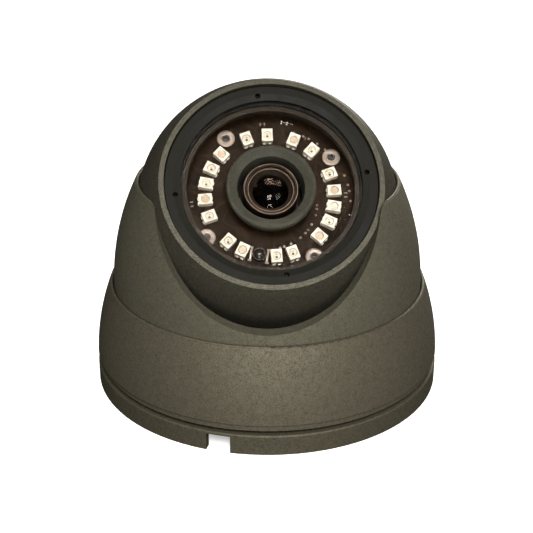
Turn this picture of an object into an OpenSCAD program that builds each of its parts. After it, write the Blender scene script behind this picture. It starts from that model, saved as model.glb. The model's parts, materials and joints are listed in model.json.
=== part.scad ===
// Dome security camera of the turret kind: an eyeball held in a shell that turns on a round base.
// Units are millimetres, +Z is up, and the lens looks to the -Y side.
// The origin is the centre of the base's underside.

/* [Base] */
// Radius of the base, and of the trim ring at its foot
base_radius = 47; // [40:0.5:60]
// Height of the base's side band
band_height = 5.5; // [5:0.1:7]
// Width of the cable notch in the rim
notch_width = 6.2; // [5:0.1:9]
// Height of the cable notch in the rim
notch_height = 4.7; // [4.2:0.1:4.9]
// Angle from the front to the cable notch, clockwise from above
notch_angle = 15; // [8:1:40]
// Radius of the cable hole in the middle of the base
cable_hole_radius = 9; // [6:0.5:12]
// Radius of the circle the wall screws stand on
wall_screw_circle = 31; // [26:0.5:33]
// Radius of each wall screw hole
wall_screw_radius = 2.25; // [1.5:0.05:3]

/* [Trim ring] */
// Height of the trim ring's lower edge
trim_foot = 8.35; // [8:0.05:9]
// Height of the trim ring's upper edge
trim_top = 28.1; // [24:0.1:34]
// Radius of the trim ring's swelling side, seen in section
trim_arc = 60; // [50:1:80]

/* [Shell] */
// Outer radius of the shell where it leaves the trim ring
shell_radius = 41.8; // [38:0.1:50]
// Height of the shell's rim
rim_height = 56.5; // [50:0.1:60]
// Radius of the shell's side, seen in section
shell_arc = 66; // [55:1:90]
// Radius of the cut-out that the lens looks through
cutout_radius = 28.5; // [20:0.1:32]
// Height of the bottom of the cut-out
cutout_bottom = 30.7; // [26:0.1:38]

/* [Eyeball] */
// Radius of the eyeball
ball_radius = 35; // [30:0.1:36]
// Height of the eyeball's centre
ball_height = 46.9; // [44:0.1:50]
// Tilt of the lens from straight up, as stored
rest_tilt = 47.26; // [0:0.01:75]
// Turn of the eyeball in the shell, as stored
rest_swing = 4.41; // [-15:0.01:15]
// Thickness of the eyeball's cast wall
ball_wall = 2.5; // [1.8:0.1:3]

/* [Window] */
// Inner radius of the painted lip round the window
lip_inner_radius = 27.4; // [25:0.1:28]
// Outer radius of the painted lip round the window
lip_outer_radius = 28.7; // [26:0.1:30]
// Radius of the window glass
glass_radius = 25.7; // [24:0.1:26]
// Thickness of the window glass
glass_thickness = 1.4; // [1:0.1:2]

/* [Boards] */
// Radius of the circle the LEDs stand on
led_circle = 16.86; // [15:0.02:18]
// Length of each LED package, from the lens outwards
led_length = 3.5; // [2.8:0.1:4]
// Width of each LED package
led_width = 2.8; // [2:0.1:3.2]
// Turn of the boards in the eyeball
board_turn = -12.3; // [-45:0.1:45]
// Side of the square boards behind the lens
square_board_side = 32; // [28:0.5:33]

/* [Lens] */
// Radius of the lens head
lens_head_radius = 7.15; // [6:0.05:8]
// Outer radius of the foam baffle round the lens
foam_outer_radius = 11.5; // [10.5:0.1:12.5]

/* [Hidden] */
$fn = 96;
play = 0.3;
cut = 1;

deck_bottom = 5;
deck_top = 7;
step_radius = base_radius - 2.5;
rim_wall = 2.2;
collar_inner_radius = base_radius - 7.8;
collar_radius = base_radius - 4.1;
collar_top = 10.9;
lug_radius = step_radius - 0.1;
lug_bottom = 9.4;
step_top = deck_top + 0.6;
lug_count = 3;
lug_sweep = 34;
boss_radius = 4.5;
hub_wall = 2;
hub_drop = 1.5;
rib_width = 1.6;
rib_drop = 3;
rib_height = 4;
wall_screw_count = 3;
edge_round = 0.5;

trim_inner_radius = shell_radius + play;
trim_wall_radius = step_radius + play;
trim_waist = 6;
trim_lip_recess = 0.55;
trim_lip_height = 1.75;
trim_shoulder = 13.5;
trim_shoulder_radius = trim_inner_radius + 1.1;
trim_step = 21;
trim_edge = 0.4;
trim_lug_sweep = 24;
trim_lug_gap = 0.2;
trim_lug_bottom = deck_top + 0.9;

running_gap = 0.2;
flange_radius = step_radius - running_gap;
flange_bottom = 11.9;
flange_top = trim_shoulder - running_gap;
glide_bottom = 11.1;
shell_inner_radius = shell_radius - 3.8;
shell_bottom = glide_bottom;
shell_waist = 27;
shell_taper_bottom = 36;
shell_taper_top = 45;
rim_edge = 0.4;
seat_overlap = 0.05;
cutout_corner = 2.5;
corner_overlap = 0.05;
cutout_start = 7;
stop_width = 1.5;
stop_outer_radius = shell_inner_radius + 0.2;
stop_depth = 1.6;
stop_bottom = deck_top + 1.5;

cup_radius = shell_inner_radius - 2.2;
cup_wall = 2;
cup_top = 20;
cup_flange_bottom = 18;
cup_web_bottom = 17;
cup_lip_bottom = 16;
cup_slot_width = 12;
cup_slot_end = cup_radius - cup_wall - 1;
cup_web_width = 3;
pad_radius = 0.9;
pad_angle = 145;
pad_slot_gap = 0.5;
groove_gap = 0.05;

ball_inner_radius = ball_radius - ball_wall;
split_height = -4;
joint_flange_height = 3;
joint_flange_inner = 30.9;
seal_circle = 32.8;
seal_radius = 0.7;
face_height = sqrt(pow(ball_radius, 2) - pow(lip_outer_radius, 2));
shelf_height = 16;
shelf_inner_radius = 21.6;
shelf_bottom = 14.5;
chamber_radius = 23.3;
pocket_top = 12.5;
tube_outer_radius = 26.4;

gasket_inner_radius = 22.8;
glass_bottom = shelf_height + 1;
glass_top = glass_bottom + glass_thickness;
ring_gap = 0.2;
ring_face = face_height - 1;
ring_flat_radius = 25;
ring_inner_radius = 23.3;
ring_lip = 0.25;
spanner_circle = 24.6;
spanner_radius = 0.7;
spanner_depth = 0.65;
ring_edge = 0.2;
spanner_turn = 5.8;

board_top = 9.5;
board_thickness = 1.2;
board_bottom = board_top - board_thickness;
board_radius = chamber_radius + 0.6;
board_gap = 0.3;
board_hole_radius = 9.6;
pad_circle = 20;
pad_hole_radius = 1.15;
led_height = 1.9;
led_well_depth = 0.8;
led_well_radius = 1.2;
led_well_floor = 0.95;
led_angles = [
    90 - 31, 90 - 12, 90 + 12, 90 + 31,
    180 - 31.5, 180 - 15.1, 180, 180 + 15.1, 180 + 31.5,
    270 - 30, 270 - 15.2, 270 + 15.2, 270 + 30,
    -31.5, -15.1, 0, 15.1, 31.5
];
photocell_circle = 16.4;
photocell_radius = 1.7;
photocell_height = 1.2;
photocell_dome = 2.2;
photocell_sink = 1.6;
photocell_ledge = 0.15;
clamp_circle = 25.6;
clamp_head_radius = 2.3;
clamp_head_height = 1.4;
clamp_shank_radius = 1;
clamp_boss_radius = 2.2;
clamp_length = 3.4;
thread_gap = 0.02;

sensor_board_top = -6.1;
sensor_board_bottom = sensor_board_top - board_thickness;
main_board_top = -13.6;
main_board_bottom = main_board_top - board_thickness;
standoff_radius = 1.9;
standoff_bore = 0.9;
stack_head_radius = 1.8;
stack_head_height = 1.1;
stack_screw_length = 3.5;

holder_radius = 8.2;
holder_side = 18;
holder_top = 3;
holder_foot = 1;
holder_wall = 1.5;
barrel_radius = 5.95;
barrel_bottom = -2;
head_bottom = 8;
head_top = 15.1;
lens_bore_radius = 4.9;
lens_ring_radius = 6.25;
lens_ring_bottom = 12.5;
lens_ring_top = 14.3;
lens_ring_lip = 0.4;
foam_inner_radius = lens_head_radius + 1.55;
foam_foot = board_bottom + 0.2;
foam_flat = 0.6;
foam_edge = 0.3;
foam_rim = 1.85;
foam_funnel = 1;
element_curve = 8;
lock_ring_bottom = 3.4;
lock_ring_top = 5.6;

joint_screw_circle = 27.6;
joint_boss_radius = 3.6;
joint_boss_top = 4;
boss_relief = 0.3;
joint_thread_radius = 1.1;
joint_screw_radius = 1;
joint_bore_radius = 1.3;
joint_head_radius = 2.2;
joint_head_height = 1.6;
joint_head_seat = -12;
joint_counterbore_radius = 2.5;

grommet_radius = 5;
grommet_flange_radius = 6.6;
grommet_bore_radius = 2.6;
grommet_flange = 2;
grommet_tail = 4;
grommet_face = ball_radius - 0.3;

// Square-cornered piece of a section, from one corner to the other.
module block(low, high) {
    translate(low) square([high.x - low.x, high.y - low.y]);
}

// What is cut from the outer upper corner of a section to round it.
module corner_bite(corner, radius) {
    translate([corner.x - radius, corner.y - radius])
        difference() {
            square(radius + cut);
            circle(radius);
        }
}

// A plain ring of rectangular section.
module collar_ring(inner, outer, bottom, top) {
    rotate_extrude() block([inner, bottom], [outer, top]);
}

// Part of a ring, turned out of a rectangle.
module sector(inner, outer, bottom, top, start, sweep) {
    rotate([0, 0, start])
        rotate_extrude(angle = sweep)
            block([inner, bottom], [outer, top]);
}

// Copies round the Z axis.
module around(count, radius, start = 0) {
    for (i = [0:count - 1])
        rotate([0, 0, start + i * 360 / count])
            translate([radius, 0, 0])
                children();
}

// A round rod or bore from one height to another.
module rod(radius, bottom, top) {
    translate([0, 0, bottom]) cylinder(r = radius, h = top - bottom);
}

// A six-sided hole on the axis.
module hex_socket(radius, bottom, height) {
    translate([0, 0, bottom]) cylinder(r = radius, h = height, $fn = 6);
}

// A flat square-cornered plate, centred on the axis.
module plate(width, depth, bottom, top) {
    translate([-width / 2, -depth / 2, bottom]) cube([width, depth, top - bottom]);
}

// From the frame of the eyeball, whose +Z is the way the lens looks, to the part's frame.
module in_ball() {
    translate([0, 0, ball_height])
        rotate([0, 0, rest_swing])
            rotate([rest_tilt, 0, 0])
                children();
}

// As in_ball, and turned with the boards.
module in_board() {
    in_ball()
        rotate([0, 0, board_turn])
            children();
}

// A small block near the shell's inner wall: one on the base and one on the shell stop the turn.
module stop_lug(bottom, top) {
    translate([stop_outer_radius - stop_depth, -stop_width / 2, bottom])
        cube([stop_depth, stop_width, top - bottom]);
}

module base_section() {
    difference() {
        union() {
            block([0, 0], [base_radius, band_height]);
            block([0, deck_bottom], [step_radius, step_top]);
            block([0, deck_top], [collar_radius, collar_top]);
        }
        block([-cut, -cut], [base_radius - rim_wall, deck_bottom]);
        block([-cut, deck_top], [collar_inner_radius, collar_top + cut]);
        corner_bite([base_radius, band_height], edge_round);
    }
}

module base_plate() {
    rib_length = base_radius - rim_wall - wall_screw_circle - boss_radius;
    color([0.36, 0.35, 0.30])
        difference() {
            union() {
                rotate_extrude() base_section();
                for (i = [0:lug_count - 1])
                    sector(collar_radius - cut, lug_radius, lug_bottom, collar_top,
                           90 - lug_sweep / 2 + i * 360 / lug_count, lug_sweep);
                rod(cable_hole_radius + hub_wall, deck_bottom - hub_drop, deck_top);
                around(wall_screw_count, wall_screw_circle, 90) rod(boss_radius, 0, deck_top);
                around(wall_screw_count, wall_screw_circle, 90)
                    translate([boss_radius - cut, -rib_width / 2, deck_bottom - rib_drop])
                        cube([rib_length + 2 * cut, rib_width, rib_height]);
                rotate([0, 0, 90]) stop_lug(deck_top - cut, collar_top);
            }
            rod(cable_hole_radius, -cut, deck_top + cut);
            around(wall_screw_count, wall_screw_circle, 90) rod(wall_screw_radius, -cut, deck_top + cut);
            rotate([0, 0, -90 - notch_angle])
                translate([base_radius - 2 * rim_wall, -notch_width / 2, -cut])
                    cube([3 * rim_wall, notch_width, notch_height + cut]);
        }
}

module trim_section() {
    arc_centre = base_radius - trim_arc;
    tip_x = trim_inner_radius + trim_edge;
    tip_z = trim_waist + sqrt(pow(trim_arc - trim_edge, 2) - pow(tip_x - arc_centre, 2));
    difference() {
        intersection() {
            translate([arc_centre, trim_waist]) circle(trim_arc, $fn = 360);
            block([trim_inner_radius, trim_foot - trim_lip_height], [base_radius, tip_z]);
        }
        block([0, 0], [trim_wall_radius, trim_shoulder]);
        block([0, trim_shoulder - cut], [trim_shoulder_radius, trim_step]);
        block([base_radius - trim_lip_recess, 0], [base_radius + cut, trim_foot]);
    }
    translate([tip_x, tip_z]) circle(trim_edge);
}

module trim_ring() {
    color([0.38, 0.37, 0.31]) {
        union() {
            rotate_extrude() trim_section();
            for (i = [0:lug_count - 1])
                sector(collar_radius + play, trim_wall_radius + cut,
                       trim_lug_bottom, lug_bottom - trim_lug_gap,
                       90 - trim_lug_sweep / 2 + i * 360 / lug_count, trim_lug_sweep);
        }
    }
}

module shell_section() {
    tip_z = rim_height - rim_edge;
    seat = ball_radius + play;
    tip_x = sqrt(pow(seat + rim_edge, 2) - pow(tip_z - ball_height, 2));
    difference() {
        union() {
            intersection() {
                translate([shell_radius - shell_arc, shell_waist]) circle(shell_arc, $fn = 360);
                block([0, shell_waist], [shell_radius, tip_z]);
            }
            block([0, shell_bottom], [shell_radius, shell_waist]);
            block([0, flange_bottom], [flange_radius, flange_top]);
        }
        translate([0, ball_height]) circle(seat, $fn = 360);
        polygon([[-cut, 0], [shell_inner_radius, 0], [shell_inner_radius, shell_taper_bottom],
                 [seat - seat_overlap, shell_taper_top], [-cut, shell_taper_top]]);
    }
    translate([tip_x, tip_z]) circle(rim_edge);
}

// Height of the middle of the cut-out's round part.
function cutout_centre() = cutout_bottom + cutout_radius;

// The round part of what is cut from the shell's front.
module cutout() {
    rotate([90, 0, 0])
        translate([0, cutout_centre(), cutout_start])
            cylinder(r = cutout_radius, h = shell_radius);
}

// What rounds the two corners where the cut-out meets the rim.
module cutout_corners() {
    corner_z = rim_height - cutout_corner;
    side = sqrt(pow(cutout_radius, 2) - pow(cutout_centre() - corner_z, 2)) + cutout_corner
        - corner_overlap;
    rotate([90, 0, 0])
        translate([0, 0, cutout_start])
            difference() {
                translate([-side, corner_z, 0])
                    cube([2 * side, cutout_corner + 2 * cut, shell_radius]);
                for (x = [-side, side])
                    translate([x, corner_z, -cut])
                        cylinder(r = cutout_corner, h = shell_radius + 2 * cut);
            }
}

module shell() {
    color([0.36, 0.35, 0.29])
        union() {
            difference() {
                difference() {
                    rotate_extrude() shell_section();
                    cutout();
                }
                cutout_corners();
            }
            rotate([0, 0, -90]) stop_lug(stop_bottom, flange_top);
        }
}

module glide_ring() {
    color([0.85, 0.84, 0.80])
        collar_ring(shell_radius, flange_radius, glide_bottom, flange_bottom);
}

// Where the friction ring's section stands, as [radius, height].
function pad_place() =
    let(reach = ball_radius + play + pad_radius)
    [reach * sin(pad_angle), ball_height + reach * cos(pad_angle)];

// Radius of the hollow for the ball at a height below its centre.
function hollow_radius(height) = sqrt(pow(ball_radius + play, 2) - pow(ball_height - height, 2));

module ball_seat() {
    color([0.12, 0.12, 0.12])
        difference() {
            rotate_extrude()
                difference() {
                    union() {
                        block([0, cup_lip_bottom], [cup_radius - cup_wall, cup_top]);
                        block([cup_radius - cup_wall, deck_top + running_gap], [cup_radius, cup_top]);
                        block([0, cup_flange_bottom], [shell_inner_radius - play, cup_top]);
                    }
                    block([hollow_radius(cup_top) + cup_web_width, 0],
                          [cup_radius - cup_wall, cup_web_bottom]);
                    translate([0, ball_height]) circle(ball_radius + play, $fn = 360);
                    translate(pad_place()) circle(pad_radius + groove_gap);
                    block([-cut, 0], [hollow_radius(cup_lip_bottom), cup_lip_bottom + cut]);
                }
            rotate([0, 0, rest_swing])
                translate([-cup_slot_width / 2, 0, cup_lip_bottom - cut])
                    cube([cup_slot_width, cup_slot_end, cup_top - cup_lip_bottom + 2 * cut]);
        }
}

module friction_ring() {
    half_slot = asin((cup_slot_width / 2 + pad_slot_gap) / pad_place().x);
    color([0.05, 0.05, 0.05])
        rotate([0, 0, 90 + rest_swing + half_slot])
            rotate_extrude(angle = 360 - 2 * half_slot)
                translate(pad_place()) circle(pad_radius);
}

module ball_front_section() {
    difference() {
        intersection() {
            circle(ball_radius, $fn = 360);
            block([0, split_height], [ball_radius, face_height]);
        }
        difference() {
            intersection() {
                circle(ball_inner_radius, $fn = 360);
                block([0, split_height + joint_flange_height], [ball_radius, pocket_top]);
            }
            block([0, board_bottom], [tube_outer_radius, pocket_top + cut]);
        }
        block([-cut, split_height - cut],
              [joint_flange_inner, split_height + joint_flange_height + groove_gap]);
        block([-cut, 0], [shelf_inner_radius, face_height + cut]);
        block([-cut, 0], [chamber_radius, shelf_bottom]);
        block([-cut, 0], [board_radius + board_gap, board_top]);
        block([-cut, shelf_height], [lip_inner_radius, face_height + cut]);
        translate([seal_circle, split_height]) circle(seal_radius + groove_gap);
    }
}

module ball_front() {
    clamp_hole_top = board_bottom + clamp_length + play;
    color([0.37, 0.36, 0.30])
        in_board()
            difference() {
                union() {
                    rotate_extrude() ball_front_section();
                    around(4, joint_screw_circle, 45)
                        rod(joint_boss_radius, split_height + boss_relief, joint_boss_top);
                    around(4, clamp_circle) rod(clamp_boss_radius, board_bottom, pocket_top + cut);
                }
                around(4, joint_screw_circle, 45)
                    rod(joint_thread_radius, split_height - cut, joint_boss_top - 1);
                around(4, clamp_circle)
                    rod(clamp_shank_radius + thread_gap, board_bottom - cut, clamp_hole_top);
                rod(board_radius + board_gap, board_bottom - cut, board_top);
                rod(chamber_radius, board_top - cut, shelf_bottom);
            }
}

module ball_rear_section() {
    difference() {
        intersection() {
            circle(ball_radius, $fn = 360);
            block([0, -ball_radius], [ball_radius, split_height]);
        }
        intersection() {
            circle(ball_inner_radius, $fn = 360);
            block([-cut, -ball_radius], [ball_radius, split_height - joint_flange_height]);
        }
        block([-cut, split_height - joint_flange_height - cut], [joint_flange_inner, split_height + cut]);
        translate([seal_circle, split_height]) circle(seal_radius + groove_gap);
    }
}

module ball_rear() {
    color([0.37, 0.36, 0.30])
        in_board()
            difference() {
                union() {
                    rotate_extrude() ball_rear_section();
                    intersection() {
                        around(4, joint_screw_circle, 45) rod(joint_boss_radius, -ball_radius, split_height);
                        sphere(ball_radius - 1, $fn = 180);
                    }
                }
                around(4, joint_screw_circle, 45) {
                    rod(joint_bore_radius, joint_head_seat - cut, split_height + cut);
                    rod(joint_counterbore_radius, -ball_radius, joint_head_seat);
                }
                rod(grommet_radius, -ball_radius - cut, 0);
            }
}

module ball_seal() {
    color([0.05, 0.05, 0.05])
        in_board()
            rotate_extrude()
                translate([seal_circle, split_height]) circle(seal_radius);
}

module joint_screws() {
    color([0.75, 0.75, 0.77])
        in_board()
            around(4, joint_screw_circle, 45)
                difference() {
                    union() {
                        rod(joint_screw_radius, joint_head_seat - cut, joint_boss_top - 2);
                        rod(joint_head_radius, joint_head_seat - joint_head_height, joint_head_seat);
                    }
                    hex_socket(joint_head_radius / 2, joint_head_seat - joint_head_height - cut, cut + 0.9);
                }
}

module retaining_ring() {
    color([0.06, 0.06, 0.06])
        in_ball()
            difference() {
                rotate_extrude()
                    difference() {
                        polygon([[ring_inner_radius, glass_top], [lip_inner_radius - ring_gap, glass_top],
                                 [lip_inner_radius - ring_gap, ring_face], [ring_flat_radius, ring_face],
                                 [ring_inner_radius, glass_top + ring_lip]]);
                        corner_bite([lip_inner_radius - ring_gap, ring_face], ring_edge);
                    }
                around(4, spanner_circle, spanner_turn)
                    rod(spanner_radius, ring_face - spanner_depth, ring_face + cut);
            }
    color([0.06, 0.06, 0.06])
        in_ball()
            collar_ring(glass_radius + ring_gap, lip_inner_radius - ring_gap,
                        shelf_height + ring_gap, glass_top);
}

module window_glass() {
    color([0.8, 0.85, 0.85, 0.3])
        in_ball()
            rod(glass_radius, glass_bottom, glass_top);
}

module window_gasket() {
    color([0.04, 0.04, 0.04])
        in_ball()
            collar_ring(gasket_inner_radius, glass_radius, shelf_height, glass_bottom);
}

module lens_foam() {
    foot_radius = board_hole_radius - thread_gap;
    color([0.10, 0.11, 0.09])
        in_board()
            rotate_extrude()
                polygon([[foam_inner_radius, foam_foot], [foot_radius, foam_foot], [foot_radius, board_top],
                         [foam_outer_radius, glass_bottom - foam_rim],
                         [foam_outer_radius, glass_bottom - foam_edge],
                         [foam_outer_radius - foam_edge, glass_bottom],
                         [foam_outer_radius - foam_edge - foam_flat, glass_bottom],
                         [foam_inner_radius, glass_bottom - foam_funnel]]);
}

module led_board() {
    color([0.15, 0.09, 0.05])
        in_board()
            difference() {
                rod(board_radius, board_bottom, board_top);
                rod(board_hole_radius, board_bottom - cut, board_top + cut);
                around(4, pad_circle, 45) rod(pad_hole_radius, board_bottom - cut, board_top + cut);
            }
}

module led_packages() {
    color([0.95, 0.93, 0.85])
        in_board()
            for (angle = led_angles)
                rotate([0, 0, angle])
                    translate([led_circle, 0, 0])
                        difference() {
                            plate(led_length, led_width, board_top, board_top + led_height);
                            translate([0, 0, board_top + led_height - led_well_depth])
                                cylinder(r1 = led_well_floor, r2 = led_well_radius, h = led_well_depth);
                        }
}

module photocell() {
    rim = board_top + photocell_height;
    color([0.05, 0.05, 0.06])
        in_board()
            rotate([0, 0, -90])
                translate([photocell_circle, 0, 0]) {
                    rod(photocell_radius, board_top, rim);
                    intersection() {
                        translate([0, 0, rim - photocell_sink]) sphere(photocell_dome);
                        rod(photocell_radius - photocell_ledge, rim - photocell_ledge, rim + photocell_height);
                    }
                }
}

module pad_screws() {
    color([0.07, 0.06, 0.05])
        in_board()
            around(4, pad_circle, 45)
                difference() {
                    union() {
                        rod(pad_hole_radius - groove_gap, board_bottom, board_top - 0.15);
                        rod(standoff_bore - thread_gap, board_bottom - 3, board_bottom);
                    }
                    hex_socket(pad_hole_radius * 0.6, board_top - 0.8, 1);
                }
}

module clamp_screws() {
    color([0.75, 0.75, 0.77])
        in_board()
            around(4, clamp_circle) {
                rod(clamp_head_radius, board_bottom - clamp_head_height, board_bottom);
                rod(clamp_shank_radius, board_bottom, board_bottom + clamp_length);
            }
}

module lens_barrel() {
    color([0.05, 0.05, 0.05])
        in_board()
            rotate_extrude()
                difference() {
                    union() {
                        block([0, head_bottom], [lens_head_radius, head_top]);
                        block([0, barrel_bottom], [barrel_radius, head_bottom]);
                    }
                    corner_bite([lens_head_radius, head_top], 0.3);
                    block([-cut, barrel_bottom - cut], [lens_bore_radius, head_top + cut]);
                    block([-cut, lens_ring_bottom], [lens_ring_radius + 0.05, head_top + cut]);
                }
}

module lens_front_ring() {
    lens_ring_inner = lens_bore_radius - 0.2;
    lens_ring_seat = lens_ring_bottom + 0.1;
    color([0.06, 0.06, 0.07])
        in_board()
            rotate_extrude()
                polygon([[lens_ring_inner, lens_ring_seat], [lens_ring_radius, lens_ring_seat],
                         [lens_ring_radius, lens_ring_top], [lens_ring_radius - lens_ring_lip, lens_ring_top],
                         [lens_ring_inner, lens_ring_seat + 0.6]]);
}

// Glass disc with a domed front.
module lens_element(radius, bottom, height, curve) {
    intersection() {
        rod(radius, bottom, bottom + height);
        translate([0, 0, bottom + height - curve]) sphere(curve, $fn = 180);
    }
}

module lens_front_element() {
    color([0.25, 0.28, 0.35, 0.5])
        in_board()
            lens_element(lens_bore_radius - 0.25, lens_ring_bottom - 2, 2.7, element_curve);
}

module lens_rear_element() {
    color([0.25, 0.28, 0.35, 0.5])
        in_board()
            lens_element(lens_bore_radius - 0.1, barrel_bottom + 0.4, 2.4, element_curve);
}

module lens_lock_ring() {
    color([0.08, 0.08, 0.08])
        in_board()
            difference() {
                collar_ring(barrel_radius + 0.05, holder_radius, lock_ring_bottom, lock_ring_top);
                for (turn = [0:60:300])
                    rotate([0, 0, turn])
                        translate([holder_radius - 0.6, -0.6, lock_ring_bottom - cut])
                            cube([2, 1.2, lock_ring_top - lock_ring_bottom + 2 * cut]);
            }
}

module lens_holder() {
    inside = holder_side - 2 * holder_wall;
    color([0.09, 0.09, 0.09])
        in_board()
            difference() {
                union() {
                    rod(holder_radius, barrel_bottom, holder_top);
                    plate(holder_side, holder_side, sensor_board_top, barrel_bottom);
                    plate(holder_side + 7, 5, sensor_board_top, sensor_board_top + holder_foot + 0.5);
                }
                rod(barrel_radius + 0.05, barrel_bottom - cut, holder_top + cut);
                plate(inside, inside, sensor_board_top - cut, barrel_bottom - holder_wall);
                for (x = [-1, 1])
                    translate([x * (holder_side / 2 + 1.8), 0, 0])
                        rod(0.8, sensor_board_top - cut, sensor_board_top + 3);
            }
}

module ir_filter() {
    color([0.45, 0.75, 0.8, 0.5])
        in_board()
            plate(10, 10, sensor_board_top + 1.5, sensor_board_top + 2);
}

module image_sensor() {
    color([0.1, 0.1, 0.12])
        in_board()
            plate(9, 7.5, sensor_board_top, sensor_board_top + 1.2);
}

// A square board with a screw hole near each corner, in line with the LED board's holes.
module square_board(bottom, top) {
    difference() {
        plate(square_board_side, square_board_side, bottom, top);
        around(4, pad_circle, 45) rod(pad_hole_radius, bottom - cut, top + cut);
    }
}

module sensor_board() {
    color([0.05, 0.25, 0.12])
        in_board()
            square_board(sensor_board_bottom, sensor_board_top);
}

module main_board() {
    color([0.05, 0.25, 0.12])
        in_board()
            square_board(main_board_bottom, main_board_top);
}

// Six-sided spacers, one at each board hole.
module standoffs(bottom, top) {
    around(4, pad_circle, 45)
        difference() {
            translate([0, 0, bottom]) cylinder(r = standoff_radius, h = top - bottom, $fn = 6);
            rod(standoff_bore, bottom - cut, top + cut);
        }
}

module long_standoffs() {
    color([0.80, 0.62, 0.25])
        in_board()
            standoffs(sensor_board_top, board_bottom);
}

module short_standoffs() {
    color([0.80, 0.62, 0.25])
        in_board()
            standoffs(main_board_top, sensor_board_bottom);
}

module stack_screws() {
    color([0.75, 0.75, 0.77])
        in_board()
            around(4, pad_circle, 45) {
                rod(stack_head_radius, main_board_bottom - stack_head_height, main_board_bottom);
                rod(standoff_bore - thread_gap, main_board_bottom, main_board_bottom + stack_screw_length);
            }
}

module board_connectors() {
    color([0.92, 0.90, 0.82])
        in_board()
            for (side = [-1, 1])
                translate([0, side * 11, 0])
                    difference() {
                        plate(12, 4, main_board_bottom - 3.4, main_board_bottom);
                        plate(10.4, 2.6, main_board_bottom - 3.4 - cut, main_board_bottom - 0.8);
                    }
}

module cable_grommet() {
    flange_seat = -ball_inner_radius + 1;
    color([0.06, 0.06, 0.06])
        in_board()
            difference() {
                intersection() {
                    union() {
                        rod(grommet_radius - thread_gap, -ball_radius, -ball_inner_radius + grommet_tail);
                        rod(grommet_flange_radius, flange_seat, flange_seat + grommet_flange);
                    }
                    sphere(grommet_face, $fn = 180);
                }
                rod(grommet_bore_radius, -ball_radius - cut, 0);
            }
}

base_plate();
trim_ring();
shell();
glide_ring();
ball_seat();
friction_ring();
ball_front();
ball_rear();
ball_seal();
joint_screws();
retaining_ring();
window_glass();
window_gasket();
lens_foam();
led_board();
led_packages();
photocell();
pad_screws();
clamp_screws();
lens_barrel();
lens_front_ring();
lens_front_element();
lens_rear_element();
lens_lock_ring();
lens_holder();
ir_filter();
image_sensor();
sensor_board();
main_board();
long_standoffs();
short_standoffs();
stack_screws();
board_connectors();
cable_grommet();
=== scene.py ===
"""Looks of the turret dome camera: finishes, circuit-board detail, lens, light and camera."""

import json
import logging
import math
from collections.abc import Callable, Sequence
from dataclasses import dataclass, field
from enum import Enum

import bmesh
import bpy
from mathutils import Matrix, Vector


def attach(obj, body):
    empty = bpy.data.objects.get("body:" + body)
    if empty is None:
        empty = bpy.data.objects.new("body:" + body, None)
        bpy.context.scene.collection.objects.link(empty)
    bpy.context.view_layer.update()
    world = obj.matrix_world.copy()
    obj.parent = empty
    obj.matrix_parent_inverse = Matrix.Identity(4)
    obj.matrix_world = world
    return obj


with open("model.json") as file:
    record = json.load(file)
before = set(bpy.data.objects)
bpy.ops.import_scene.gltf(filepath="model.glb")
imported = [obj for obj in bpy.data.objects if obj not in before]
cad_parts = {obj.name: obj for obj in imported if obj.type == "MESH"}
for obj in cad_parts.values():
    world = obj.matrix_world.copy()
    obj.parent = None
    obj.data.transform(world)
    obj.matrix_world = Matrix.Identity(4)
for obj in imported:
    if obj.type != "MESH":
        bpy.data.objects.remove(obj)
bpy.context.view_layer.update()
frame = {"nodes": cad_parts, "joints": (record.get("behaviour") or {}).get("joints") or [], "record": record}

logging.basicConfig(level=logging.INFO, format="%(levelname)s %(message)s")
LOG = logging.getLogger("dome_camera")

MM = 0.001
BOARD_TURN = -12.3
GOLDEN_ANGLE = 137.508
GOLDEN_SHARE = 0.61803

Colour = tuple[float, float, float]
Point = tuple[float, float, float]


# ---------------------------------------------------------------- shader graph


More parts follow.
